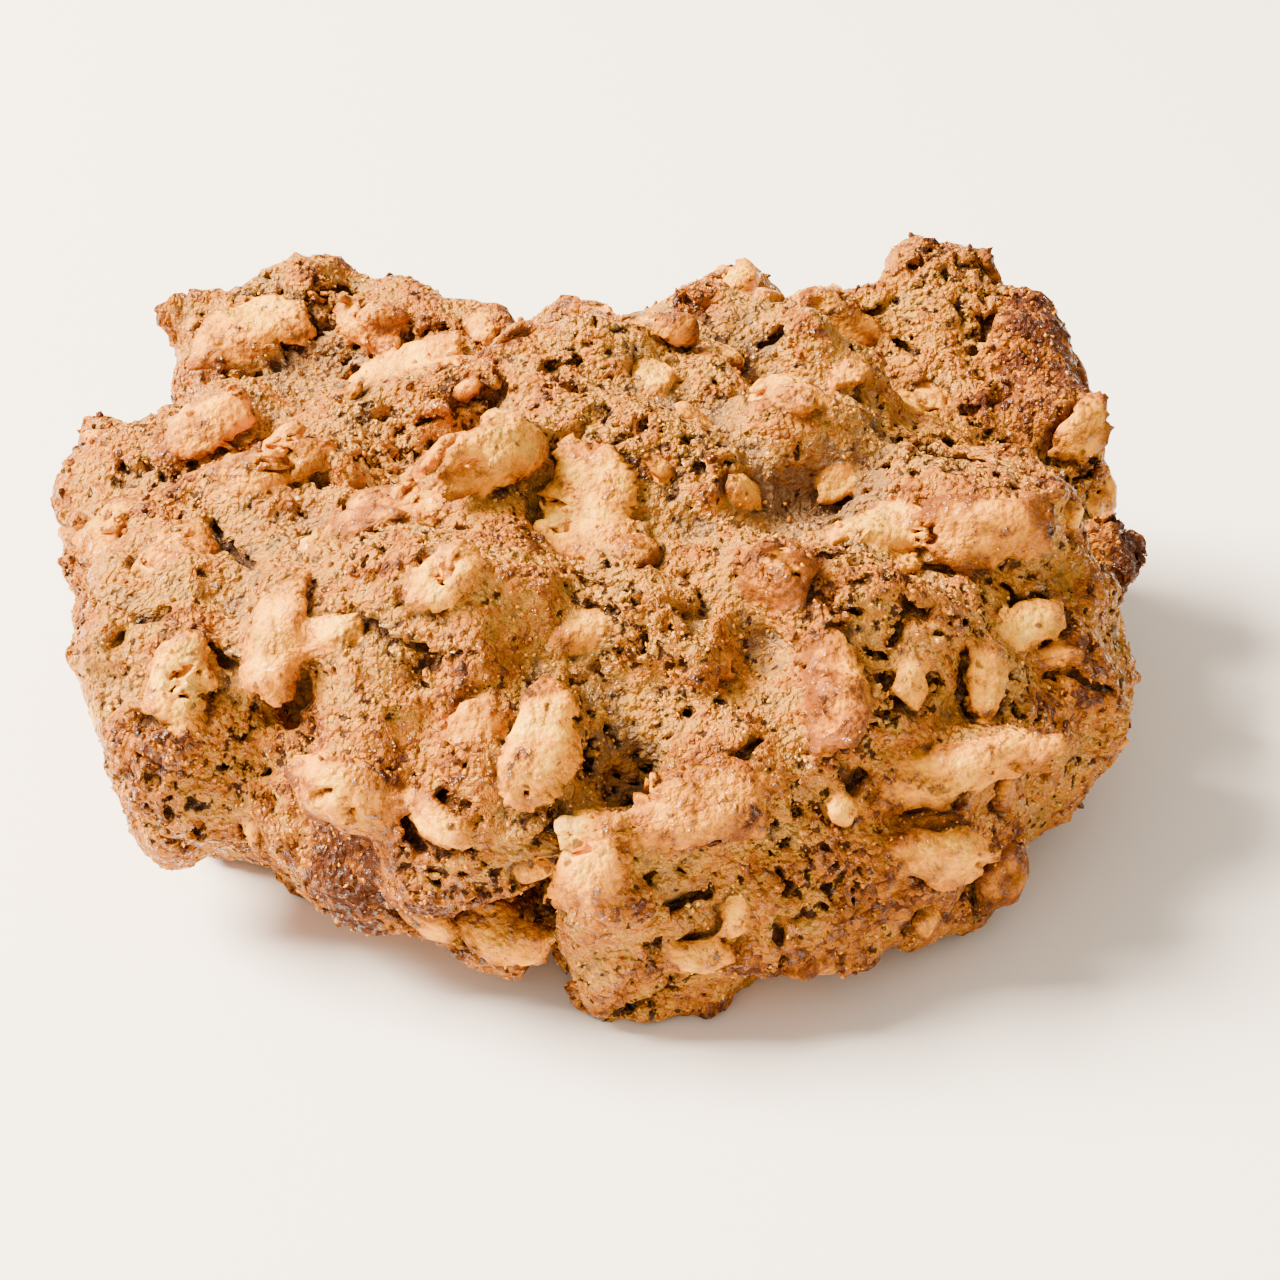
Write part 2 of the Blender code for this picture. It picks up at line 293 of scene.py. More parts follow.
# %% [markdown]
# ## The shape of an oat flake
#
# A rolled oat is a steamed grain pressed flat: an oval about 9 mm long and a millimetre or so
# thick, with a groove along its middle and a wavy rim. Each kind below has a radius of 1, so that
# a flake's own sizes can be given later, and it keeps its flat shape as an attribute.

# %% Flake shapes
FLAKE_KINDS = 7
FLAKE_RINGS = 5
FLAKE_SECTORS = 24
FLAKE_THICKNESS = 1.1
RIM_WAVE = 0.19
WAVE_COUNTS = (2, 3, 5, 7, 10)
WAVE_SHARES = (0.4, 1.0)
GROOVE_LEAN = 0.2
SWELL_POWER = 6
GROOVE_DEPTH = 0.18
GROOVE_WIDTH = 0.13
BLUNT = 0.8

flake_shapes = bpy.data.collections.new("flake shapes")
bpy.context.scene.collection.children.link(flake_shapes)


def flake_mesh(kind):
    """A closed oval of radius 1; its height is in millimetres."""
    chance = np.random.default_rng(kind)
    waves = []
    for count in WAVE_COUNTS:
        size = chance.uniform(*WAVE_SHARES) * RIM_WAVE / count**0.5
        waves.append((count, size, chance.uniform(0, math.tau)))
    lean = chance.uniform(-GROOVE_LEAN, GROOVE_LEAN)
    shape = bmesh.new()
    rim = None
    for face in (1, -1):
        middle = shape.verts.new((0, 0, face * FLAKE_THICKNESS / 2 - max(face, 0) * GROOVE_DEPTH))
        rings = []
        for ring in range(1, FLAKE_RINGS + 1):
            reach = ring / FLAKE_RINGS
            swell = math.sqrt(1 - reach**SWELL_POWER)
            line = []
            for sector in range(FLAKE_SECTORS):
                angle = math.tau * sector / FLAKE_SECTORS
                wave = sum(size * math.sin(count * angle + turn) for count, size, turn in waves)
                across, along = math.sin(angle), math.cos(angle)
                x = reach * (1 + reach * wave) * math.copysign(abs(along) ** BLUNT, along)
                y = reach * (1 + reach * wave) * math.copysign(abs(across) ** BLUNT, across)
                groove = GROOVE_DEPTH * math.exp(-(((y - lean * x) / GROOVE_WIDTH) ** 2))
                height = (face * FLAKE_THICKNESS / 2 - max(face, 0) * groove) * swell
                line.append(shape.verts.new((x, y, height)))
            rings.append(line)
        if rim:
            for vertex in rings[-1]:
                shape.verts.remove(vertex)
            rings[-1] = rim
        rim = rings[-1]
        for sector in range(FLAKE_SECTORS):
            after = (sector + 1) % FLAKE_SECTORS
            shape.faces.new((middle, rings[0][sector], rings[0][after])[::face])
            for inner, outer in zip(rings, rings[1:]):
                shape.faces.new((inner[sector], outer[sector], outer[after], inner[after])[::face])
    mesh = bpy.data.meshes.new(f"flake {kind}")
    shape.to_mesh(mesh)
    shape.free()
    mesh.shade_smooth()
    flat = np.array([v.co for v in mesh.vertices], dtype=np.float32)
    mesh.attributes.new("flat", "FLOAT_VECTOR", "POINT").data.foreach_set("vector", flat.ravel())
    return mesh


for kind in range(FLAKE_KINDS):
    flake_shapes.objects.link(bpy.data.objects.new(f"flake {kind}", flake_mesh(kind)))

# %% [markdown]
# ## Where the flakes lie
#
# The flakes that show on the face are listed one by one: across and up from the line of sight, with
# their half length, half width, turn and how toasted they are. Round the sides and the back, where
# the eye doesn't reach, whole flakes are spread evenly on a golden spiral and turned at random, and
# broken bits of oat are spread the same way over the whole cookie. Each becomes a point that
# knows the directions and sizes its flake will take.

# %% Flake places
SHOWN_FLAKES = {
    "centre": (-5, 11.7, 4.9, 3.9, 80, 0.15),
    "left_top": (-38, 18.6, 3.9, 2.5, 15, 0.3),
    "back_strip": (-21, 23.8, 5.5, 1.9, 14, 0.2),
    "pale_slab": (-12, 16.4, 4.4, 2.7, 30, 0.2),
    "middle_strip": (-32, 15.2, 4.8, 1.8, 20, 0.3),
    "left_smooth": (-40.3, -3.5, 3.9, 2.2, 80, 0.0),
    "left_column": (-32, 0.9, 4.7, 2.7, 85, 0.4),
    "left_foot": (-25.5, -13.9, 4.0, 2.8, -20, 0.3),
    "dome_low": (-17.8, -16, 2.7, 1.6, -30, 0.5),
    "dome_right": (-8.7, -8.7, 4.6, 2.6, 75, 0.3),
    "crown": (5.2, -14.3, 5.0, 3.1, 10, 0.55),
    "front_left": (-4.2, -19.5, 3.8, 2.4, 70, 0.5),
    "slab_ridge": (16.9, -4.3, 5.8, 2.2, 85, 0.7),
    "long": (27.7, -11.3, 6.6, 2.0, 20, 0.2),
    "right_smooth": (33.8, 1.4, 3.2, 1.7, 12, 0.2),
    "right_small": (29.9, -3.5, 2.9, 1.5, 85, 0.4),
    "right_lump": (29.9, 9.5, 4.8, 3.1, 5, 0.75),
    "basin": (20.4, 10, 4.1, 2.1, 5, 0.2),
    "lower_right": (26.4, -18.6, 3.6, 2.1, 8, 0.2),
    "lower_right_foot": (31.6, -20.8, 3.1, 1.9, 30, 0.9),
    "front_small": (5.2, -27.7, 2.2, 1.6, 20, 0.2),
    "dome_top": (-17.3, 5.6, 2.8, 2.1, 40, 0.3),
    "ridge_left": (-24.2, 27.4, 3.6, 1.8, -15, 0.4),
    "ridge_end": (8.7, 30.7, 3.0, 1.9, 60, 0.2),
    "pocket_chunk": (24.2, 19.9, 3.0, 2.5, 80, 0.2),
    "shoulder": (38.5, 18.2, 3.1, 2.1, 65, 0.5),
    "toasted": (-23.4, 11.3, 3.4, 2.0, -10, 1.0),
    "left_edge": (-46.5, 10.4, 3.2, 2.3, 70, 0.3),
    "long_ridge": (17.3, 27.7, 3.4, 2.1, -30, 0.5),
    "crumb": (-12.1, -25.6, 3.4, 2.2, -35, 0.4),
    "left_orange": (-39.8, 8.2, 2.6, 2.2, 30, 0.8),
    "left_crown": (-34, 27.5, 5.2, 3.0, 25, 0.2),
    "orange_lump": (11.7, 5.6, 2.7, 2.4, 60, 1.4),
    "pale_crumb": (-5.6, -16.5, 1.6, 1.2, 20, -0.4),
}
PROUD = {
    "centre": 0.5,
    "orange_lump": 0.8,
    "crown": 0.2,
    "left_smooth": 0.35,
    "pale_slab": -0.2,
    "left_column": -0.15,
    "right_lump": -0.25,
    "long": -0.1,
}
SPREAD_SEED = 5
SPREAD_FLAKES = 100
FLAKE_LENGTHS = (2.4, 4.4)
SPREAD_BITS = 90
BIT_LENGTHS = (0.9, 2.1)
SHOWN_LIFT = -0.65
SPREAD_LIFTS = (-1.0, -0.3)
TILT = 0.6
FACE_EDGE = 0.15
SPREAD_TOP = 0.98
SPREAD_SPAN = 1.1
SPREAD_SLIM = (0.5, 0.85)
SPREAD_TONE = (0.1, 0.9)
LEAST_HEIGHT = 2.5 * MM
HEART = Vector((0, 0, 9 * MM))
FAR_OUT = 0.1
GOLDEN_TURN = math.pi * (3 - math.sqrt(5))

corners = [vertex.co for vertex in form.data.vertices]
form_tree = BVHTree.FromPolygons(corners, [face.vertices for face in form.data.polygons])
chance = np.random.default_rng(SPREAD_SEED)
flake_places = []


def on_face(across, up):
    """The place on the form that the eye sees there, and the way it faces."""
    return form_tree.ray_cast(EYE, seen(across, up))[:2]


def lay_flake(place, facing, lift, half_length, half_width, turn, tone):
    along = (RIGHT - facing * RIGHT.dot(facing)).normalized()
    along.rotate(Matrix.Rotation(math.radians(turn), 3, facing))
    size = (half_length * MM, half_width * MM, MM)
    tilt = chance.uniform((-TILT, -TILT, 1), (TILT, TILT, 1))
    flake_places.append((place + facing * lift * MM, facing, along, size, tilt, (tone,)))


def spread_round(count, lengths, everywhere):
    """Flakes on a golden spiral round the cookie, at random sizes and turns."""
    for i in range(count):
        rise = SPREAD_TOP - SPREAD_SPAN * (i + 0.5) / count
        flat = math.sqrt(1 - rise * rise)
        direction = Vector((flat * math.cos(i * GOLDEN_TURN), flat * math.sin(i * GOLDEN_TURN), rise))
        place, facing = form_tree.ray_cast(HEART + direction * FAR_OUT, -direction)[:2]
        least, most = zip(lengths, SPREAD_SLIM, (0, 180), SPREAD_TONE)
        length, slim, turn, tone = chance.uniform(least, most)
        lift = chance.uniform(*SPREAD_LIFTS)
        hidden = facing.dot((EYE - place).normalized()) < FACE_EDGE
        if (everywhere or hidden) and place.z > LEAST_HEIGHT:
            lay_flake(place, facing, lift, length, length * slim, turn, tone)


for name, (across, up, *details) in SHOWN_FLAKES.items():
    place, facing = on_face(across, up)
    if place is not None:
        lay_flake(place, facing, SHOWN_LIFT + PROUD.get(name, 0), *details)
print(len(flake_places), "of", len(SHOWN_FLAKES), "flakes found their place on the face")
spread_round(SPREAD_FLAKES, FLAKE_LENGTHS, everywhere=False)
spread_round(SPREAD_BITS, BIT_LENGTHS, everywhere=True)
print(len(flake_places), "flakes and bits in all")

# %% [markdown]
# ## Draping the flakes
#
# The flakes went into the oven soft, so they sag onto the dough and bend with it. Geometry Nodes
# puts a shape on each point, then casts a ray from each of its points down to the dough and moves
# the point towards it, by no more than the sag allows.

# %% Flakes bent over the form
FLAKE_SAG = {"Drape": 0.8, "Sag": 1.6, "Reach": 6.0}

seeds = bpy.data.meshes.new("flake seeds")
seeds.from_pydata([place for place, *_ in flake_places], [], [])
columns = {"facing": 1, "along": 2, "size": 3, "tilt": 4}
for name, column in columns.items():
    values = np.array([flake[column] for flake in flake_places], dtype=np.float32)
    seeds.attributes.new(name, "FLOAT_VECTOR", "POINT").data.foreach_set("vector", values.ravel())
values = np.array([flake[5] for flake in flake_places], dtype=np.float32)
seeds.attributes.new("tone", "FLOAT", "POINT").data.foreach_set("value", values.ravel())
flakes = link_new("oat flakes", seeds)

kinds = {"Form": "Object", "Shapes": "Collection"} | {name: "Float" for name in FLAKE_SAG}
tree, given = new_tree("draped flakes", kinds)
form_shape = add(tree, OBJECT_INFO, {"Object": given["Form"]}, out="Geometry")
stored = {name: add(tree, NAMED, {"Name": name}, data_type="FLOAT_VECTOR") for name in (*columns, "flat")}
feeds = {"Collection": given["Shapes"], "Separate Children": True, "Reset Children": True}
shapes = add(tree, "GeometryNodeCollectionInfo", feeds)
feeds = {"Primary Axis": stored["facing"], "Secondary Axis": stored["along"]}
axes = {"primary_axis": "Z", "secondary_axis": "X"}
turned = add(tree, "FunctionNodeAxesToRotation", feeds, **axes)
feeds = {"Points": given["Geometry"], "Instance": shapes, "Pick Instance": True}
feeds |= {"Rotation": turned, "Scale": stored["size"]}
laid = add(tree, "GeometryNodeInstanceOnPoints", feeds)
laid = add(tree, "GeometryNodeRealizeInstances", {"Geometry": laid})
position = add(tree, "GeometryNodeInputPosition")
millimetre = add(tree, VECTOR_MATH, {0: stored["facing"], "Scale": MM}, operation="SCALE")
reach = add(tree, VECTOR_MATH, {0: millimetre, "Scale": given["Reach"]}, operation="SCALE")
above = add(tree, VECTOR_MATH, {0: position, 1: reach}, operation="ADD")
down = add(tree, VECTOR_MATH, {0: stored["facing"], "Scale": -1.0}, operation="SCALE")
ray_length = add(tree, MATH, {0: given["Reach"], 1: 2 * MM}, operation="MULTIPLY")
feeds = {"Target Geometry": form_shape, "Source Position": above, "Ray Direction": down}
hit = add(tree, "GeometryNodeRaycast", feeds | {"Ray Length": ray_length}, out="Is Hit")
gap = add(tree, VECTOR_MATH, {0: hit.node.outputs["Hit Position"], 1: position}, operation="SUBTRACT")
gap = add(tree, VECTOR_MATH, {0: gap, 1: stored["facing"]}, out="Value", operation="DOT_PRODUCT")
feeds = {0: stored["flat"], 1: stored["tilt"]}
own_height = add(tree, VECTOR_MATH, feeds, out="Value", operation="DOT_PRODUCT")
move = add(tree, MATH, {0: gap, 1: 1 / MM, 2: own_height}, operation="MULTIPLY_ADD")
least = add(tree, MATH, {0: given["Sag"], 1: -1.0}, operation="MULTIPLY")
move = add(tree, MATH, {0: move, 1: least}, operation="MAXIMUM")
move = add(tree, MATH, {0: move, 1: given["Sag"]}, operation="MINIMUM")
move = add(tree, MATH, {0: move, 1: given["Drape"]}, operation="MULTIPLY")
move = add(tree, VECTOR_MATH, {0: millimetre, "Scale": move}, operation="SCALE")
draped = add(tree, "GeometryNodeSetPosition", {"Geometry": laid, "Selection": hit, "Offset": move})
tree.links.new(draped, tree.nodes.new("NodeGroupOutput").inputs["Geometry"])
flakes.data = run_tree(flakes, tree, {"Form": form, "Shapes": flake_shapes} | FLAKE_SAG)
print("draped flakes:", len(flakes.data.polygons), "faces")

# %% [markdown]
# ## The crumb's skin
#
# A baked crumb isn't a smooth surface with a pattern on it. Steam leaves jagged pores that undercut
# the skin, drying dough tears into thin cracks, and between them flour and oat dust dry into
# grains. A surface pushed in and out along its normals can't undercut, so the skin is made as a
# volume instead. At every point of a fine grid a field says how deep in the dough it lies: the
# distance to the form, plus bumps and grains, minus pores and cracks. The flakes are part of the
# field, so dough laps over their edges, and a moat leaves a dark crack along parts of their rims.
# The skin is where the field is zero.

# %% The skin's numbers
SKIN = {
    "Bump Size": 3.6,
    "Bump Height": 1.35,
    "Grain Size": 1.0,
    "Grain Height": 0.28,
    "Pore Size": 1.0,
    "Closed": 0.345,
    "Open": 0.44,
    "Crack Spacing": 8.0,
    "Crack Width": 0.8,
    "Pore Depth": 1.2,
    "Moat Width": 0.55,
    "Moat Depth": 1.5,
}
SKIN_GRID = 0.37
BOX_MARGIN = 1.8
print("skin on a grid of", SKIN_GRID, "mm")

# %% [markdown]
# ## Where the crumb opens
#
# Steam leaves by the splits and hollows between the lumps, so the crumb is more open there. The
# places below are given across and up, like the flakes. The boost fades out over the reach.

# %% Open places
OPEN_REACH = 5.0
OPEN_BOOST = 0.35
OPEN_PLACES = {
    "crease start": (-12.1, -5.2),
    "crease middle": (-6, -9.5),
    "crease end": (0, -13),
    "right of crease": (6.1, -5.2),
    "under the toasted lump": (9.1, -1.7),
    "above the crease": (1.3, 2.6),
    "left split": (-27.5, 4.2),
    "left split foot": (-30.5, -5.6),
    "round hole": (-13.8, 22.2),
    "cave": (-8.7, -23.8),
    "front right": (13.9, -22.5),
    "left foot": (-18.2, -18.2),
    "right foot": (24, -24),
}

open_mesh = bpy.data.meshes.new("open places")
open_mesh.from_pydata([on_face(*spot)[0] for spot in OPEN_PLACES.values()], [], [])
open_places = link_new("open places", open_mesh)
print(len(open_mesh.vertices), "open places")

# %% [markdown]
# ## Distances and patterns in a tree
#
# Three things are needed more than once: how far a place lies outside a closed shape, whether an
# open place is near, and a pattern of a given size. Each function adds the nodes for one of them.

# %% Distances and patterns
PATTERN_ROUGHNESS = 0.6


def signed_distance(tree, shape):
    """How many millimetres a place lies outside a closed shape; less than 0 is inside."""
    place = add(tree, "GeometryNodeInputPosition")
    nearest = add(tree, PROXIMITY, {"Geometry": shape}, out="Position")
    away = add(tree, VECTOR_MATH, {0: place, 1: nearest}, operation="SUBTRACT")
    normal = add(tree, "GeometryNodeInputNormal")
    facing = add(tree, NEAREST, {"Mesh": shape, "Value": normal}, data_type="FLOAT_VECTOR")
    side = add(tree, VECTOR_MATH, {0: away, 1: facing}, out="Value", operation="DOT_PRODUCT")
    side = add(tree, MATH, {0: side}, operation="SIGN")
    distance = add(tree, MATH, {0: nearest.node.outputs["Distance"], 1: side}, operation="MULTIPLY")
    return add(tree, MATH, {0: distance, 1: 1 / MM}, operation="MULTIPLY")


def near_open(tree, places):
    """The boost at an open place, fading to 0 at the reach."""
    points = add(tree, OBJECT_INFO, {"Object": places}, out="Geometry")
    away = add(tree, PROXIMITY, {"Target": points}, out="Distance", target_element="POINTS")
    fade = {"From Max": OPEN_REACH * MM, "To Min": OPEN_BOOST, "To Max": 0.0}
    return add(tree, MAP_RANGE, {"Value": away} | fade)


def patterned(tree, kind, vector, size, out=0, detail=0.0, **settings):
    """A noise or cell pattern whose features are about size millimetres apart."""
    per_mm = add(tree, MATH, {0: 1.0, 1: size}, operation="DIVIDE")
    feeds = {"Vector": vector, "Scale": per_mm, "Detail": detail, "Roughness": PATTERN_ROUGHNESS}
    return add(tree, kind, feeds, out=out, **settings)


kinds = {name: "Float" for name in SKIN}
kinds |= {"Flakes": "Object", "Open Places": "Object", "Low": "Vector", "High": "Vector"}
tree, given = new_tree("crumb skin", kinds)
place = add(tree, "GeometryNodeInputPosition")
place = add(tree, VECTOR_MATH, {0: place, "Scale": 1 / MM}, operation="SCALE")
outside = signed_distance(tree, given["Geometry"])
flake_shape = add(tree, OBJECT_INFO, {"Object": given["Flakes"]}, out="Geometry")
from_flake = signed_distance(tree, flake_shape)
print("the field has", len(kinds), "inputs")

# %% [markdown]
# ## Bumps, grains and moats
#
# The body of the dough is its depth under the form, raised by bumps and by rounded grains. Along
# parts of each flake's rim a moat takes some of it away again.

# %% Bumps, grains and moats
WARP_SIZE = 2.2
WARP_AMOUNT = 1.8
STIR_AMOUNT = 0.7
GRAIN_MIDDLE = 0.35
RELIEF = 2.0
MOAT_PATCH = 4.5
MOAT_RANGE = (0.46, 0.54)

warp = patterned(tree, NOISE, place, WARP_SIZE, "Color", detail=2.0)
warped = add(tree, VECTOR_MATH, {0: warp, 1: (WARP_AMOUNT,) * 3, 2: place}, operation="MULTIPLY_ADD")
bump = patterned(tree, NOISE, place, given["Bump Size"], detail=6.0)
bump = add(tree, MATH, {0: bump, 1: 0.5}, operation="SUBTRACT")
stirred = add(tree, VECTOR_MATH, {0: warp, 1: (STIR_AMOUNT,) * 3, 2: place}, operation="MULTIPLY_ADD")
grain = patterned(tree, VORONOI, stirred, given["Grain Size"], "Distance")
grain = add(tree, MATH, {0: grain, 1: grain}, operation="MULTIPLY")
grain = add(tree, MATH, {0: GRAIN_MIDDLE, 1: grain}, operation="SUBTRACT")
body = add(tree, MATH, {0: bump, 1: given["Bump Height"]}, operation="MULTIPLY")
body = add(tree, MATH, {0: grain, 1: given["Grain Height"], 2: body}, operation="MULTIPLY_ADD")
body = add(tree, MATH, {0: body, 1: RELIEF}, operation="MULTIPLY")
body = add(tree, MATH, {0: body, 1: outside}, operation="SUBTRACT")

rim = add(tree, MATH, {0: from_flake, 1: given["Moat Width"]}, operation="DIVIDE")
rim = add(tree, MAP_RANGE, {"Value": rim, "To Min": 1.0, "To Max": 0.0})
moat = patterned(tree, NOISE, place, MOAT_PATCH, detail=1.0)
moat = add(tree, MAP_RANGE, {"Value": moat, "From Min": MOAT_RANGE[0], "From Max": MOAT_RANGE[1]})
moat = add(tree, MATH, {0: moat, 1: given["Moat Depth"]}, operation="MULTIPLY")
moat = add(tree, MATH, {0: rim, 1: moat}, operation="MULTIPLY")
body = add(tree, MATH, {0: body, 1: moat}, operation="SUBTRACT")
print("bumps, grains and moats:", len(tree.nodes), "nodes so far")

# %% [markdown]
# ## Pores and cracks
#
# Pores open where a noise falls below a limit, and the limit is higher where the crumb is open.
# Cracks follow the borders of large warped cells, torn here and whole there. Both close again at
# the pore depth, so the body stays solid inside.

# %% Pores and cracks
OPEN_PATCH = 9.0
OPEN_RANGE = (0.46, 0.62)
PORE_STEEPNESS = 4.0
TORN_PATCH = 5.0
TORN_RANGE = (0.5, 0.58)
CLOSING_STEEPNESS = 3.0

openness = patterned(tree, NOISE, place, OPEN_PATCH, detail=1.0)
openness = add(tree, MAP_RANGE, {"Value": openness, "From Min": OPEN_RANGE[0], "From Max": OPEN_RANGE[1]})
near = near_open(tree, given["Open Places"])
openness = add(tree, MATH, {0: openness, 1: near}, operation="ADD")
spread = add(tree, MATH, {0: given["Open"], 1: given["Closed"]}, operation="SUBTRACT")
limit = add(tree, MATH, {0: openness, 1: spread, 2: given["Closed"]}, operation="MULTIPLY_ADD")
pore = patterned(tree, NOISE, place, given["Pore Size"], detail=3.0)
pore = add(tree, MATH, {0: limit, 1: pore}, operation="SUBTRACT")
pore = add(tree, MATH, {0: pore, 1: PORE_STEEPNESS}, operation="MULTIPLY")

spacing = given["Crack Spacing"]
crack = patterned(tree, VORONOI, warped, spacing, "Distance", feature="DISTANCE_TO_EDGE")
crack = add(tree, MATH, {0: crack, 1: spacing}, operation="MULTIPLY")
half_width = add(tree, MATH, {0: given["Crack Width"], 1: 0.5}, operation="MULTIPLY")
crack = add(tree, MATH, {0: half_width, 1: crack}, operation="SUBTRACT")
whole = patterned(tree, NOISE, place, TORN_PATCH, detail=2.0)
feeds = {"Value": whole, "From Min": TORN_RANGE[0], "From Max": TORN_RANGE[1], "To Min": 1.0, "To Max": 0.0}
whole = add(tree, MAP_RANGE, feeds)
crack = add(tree, MATH, {0: crack, 1: whole}, operation="SUBTRACT")

opening = add(tree, MATH, {0: pore, 1: crack}, operation="MAXIMUM")
under = add(tree, MATH, {0: outside, 1: given["Pore Depth"]}, operation="ADD")
under = add(tree, MATH, {0: under, 1: 0.0}, operation="MINIMUM")
closing = add(tree, MATH, {0: under, 1: CLOSING_STEEPNESS, 2: opening}, operation="MULTIPLY_ADD")
closing = add(tree, MATH, {0: closing, 1: -1.0}, operation="MULTIPLY")
field = add(tree, MATH, {0: body, 1: closing}, operation="MINIMUM")
print("with pores and cracks:", len(tree.nodes), "nodes so far")

# %% [markdown]
# ## Oats, underside and skin
#
# The flakes join the field with a slightly rough surface, everything below z = 0 is cut away, and
# the skin is meshed where the field is zero. Bits that came loose in the cutting are dropped, so
# that one closed piece is left.

# %% The skin from its field
OAT_ROUGH_SIZE = 1.7
OAT_ROUGH_HEIGHT = 1.3

fine = patterned(tree, NOISE, place, OAT_ROUGH_SIZE, detail=5.0)
feeds = {0: fine, 1: OAT_ROUGH_HEIGHT, 2: -OAT_ROUGH_HEIGHT / 2}
fine = add(tree, MATH, feeds, operation="MULTIPLY_ADD")
oat = add(tree, MATH, {0: fine, 1: from_flake}, operation="SUBTRACT")
field = add(tree, MATH, {0: field, 1: oat}, operation="MAXIMUM")
height = add(tree, "ShaderNodeSeparateXYZ", {0: place}, out="Z")
field = add(tree, MATH, {0: field, 1: height}, operation="MINIMUM")

steps = add(tree, VECTOR_MATH, {0: given["High"], 1: given["Low"]}, operation="SUBTRACT")
steps = add(tree, VECTOR_MATH, {0: steps, "Scale": 1 / (SKIN_GRID * MM)}, operation="SCALE")
steps = add(tree, "ShaderNodeSeparateXYZ", {0: steps}).node.outputs
volume = add(
    tree,
    "GeometryNodeVolumeCube",
    {
        "Density": field,
        "Background": -1.0,
        "Min": given["Low"],
        "Max": given["High"],
        "Resolution X": steps["X"],
        "Resolution Y": steps["Y"],
        "Resolution Z": steps["Z"],
    },
)
skin = add(tree, "GeometryNodeVolumeToMesh", {"Volume": volume, "Threshold": 0.0})

island = add(tree, "GeometryNodeInputMeshIsland")
size = add(tree, "GeometryNodeAccumulateField", {"Value": 1.0, "Group Index": island}, out="Total")
largest = add(tree, "GeometryNodeAttributeStatistic", {"Geometry": skin, "Attribute": size}, out="Max")
loose = add(tree, "FunctionNodeCompare", {0: size, 1: largest}, operation="LESS_THAN")
skin = add(tree, "GeometryNodeDeleteGeometry", {"Geometry": skin, "Selection": loose})
tree.links.new(skin, tree.nodes.new("NodeGroupOutput").inputs["Geometry"])

low, high = solid_box
margin = Vector((BOX_MARGIN,) * 3) * MM
values = SKIN | {"Flakes": flakes, "Open Places": open_places, "Low": low - margin, "High": high + margin}
skin_mesh = run_tree(form, tree, values)
print("skin:", len(skin_mesh.vertices), "points", len(skin_mesh.polygons), "faces")

# %% [markdown]
# ## Thinning the skin
#
# An even grid spends as many faces on the flat underside as on the crags. Collapsing edges where
# the surface is nearly flat brings the skin under its budget and leaves the pores sharp.

# %% Thin the skin out
SKIN_BUDGET = 190000

dough = link_new("crumb", skin_mesh)
triangles = sum(len(face.vertices) - 2 for face in skin_mesh.polygons)
thin = dough.modifiers.new("thin out", "DECIMATE")
thin.ratio = min(1.0, SKIN_BUDGET / triangles)
thin_mesh = evaluated_mesh(dough)
dough.modifiers.clear()
dough.data = thin_mesh
dough.data.shade_smooth()
print("crumb:", len(dough.data.vertices), "points", len(dough.data.polygons), "faces")

# %% [markdown]
# ## What the skin knows about itself
#
# An oven browns what stands proud; what lies low is painted darker, as painted shade. Each point of
# the skin stores its depth, how far it lies outside or inside the form; its crest, read from the form;
# and, from the nearest flake, how far away it is, its tone and where on its flat shape the point lies.
# It also stores whether an open place is near, so that the painted shade falls into the same pores.

# %% Depth, crest and flake on the skin
tree, given = new_tree("skin facts", {"Form": "Object", "Flakes": "Object", "Open Places": "Object"})
form_shape = add(tree, OBJECT_INFO, {"Object": given["Form"]}, out="Geometry")
flake_shape = add(tree, OBJECT_INFO, {"Object": given["Flakes"]}, out="Geometry")
crest = add(tree, NEAREST, {"Mesh": form_shape, "Value": add(tree, NAMED, {"Name": "crest"})})
tone = add(tree, NEAREST, {"Mesh": flake_shape, "Value": add(tree, NAMED, {"Name": "tone"})})
flat = add(tree, NAMED, {"Name": "flat"}, data_type="FLOAT_VECTOR")
flat = add(tree, NEAREST, {"Mesh": flake_shape, "Value": flat}, data_type="FLOAT_VECTOR")
facts = {
    "depth": signed_distance(tree, form_shape),
    "crest": crest,
    "from_flake": signed_distance(tree, flake_shape),
    "tone": tone,
    "flat": flat,
    "near": near_open(tree, given["Open Places"]),
}
stored = given["Geometry"]
for name, value in facts.items():
    kind = "FLOAT_VECTOR" if name == "flat" else "FLOAT"
    feeds = {"Geometry": stored, "Name": name, "Value": value}
    stored = add(tree, "GeometryNodeStoreNamedAttribute", feeds, data_type=kind)
tree.links.new(stored, tree.nodes.new("NodeGroupOutput").inputs["Geometry"])
dough.data = run_tree(dough, tree, {"Form": form, "Flakes": flakes, "Open Places": open_places})


def stored_values(mesh, name):
    values = np.empty(len(mesh.vertices), dtype=np.float32)
    mesh.attributes[name].data.foreach_get("value", values)
    return values


for name in ("depth", "crest", "from_flake"):
    values = stored_values(dough.data, name)
    print(name, "from", values.min().round(2), "to", values.max().round(2), "mm")
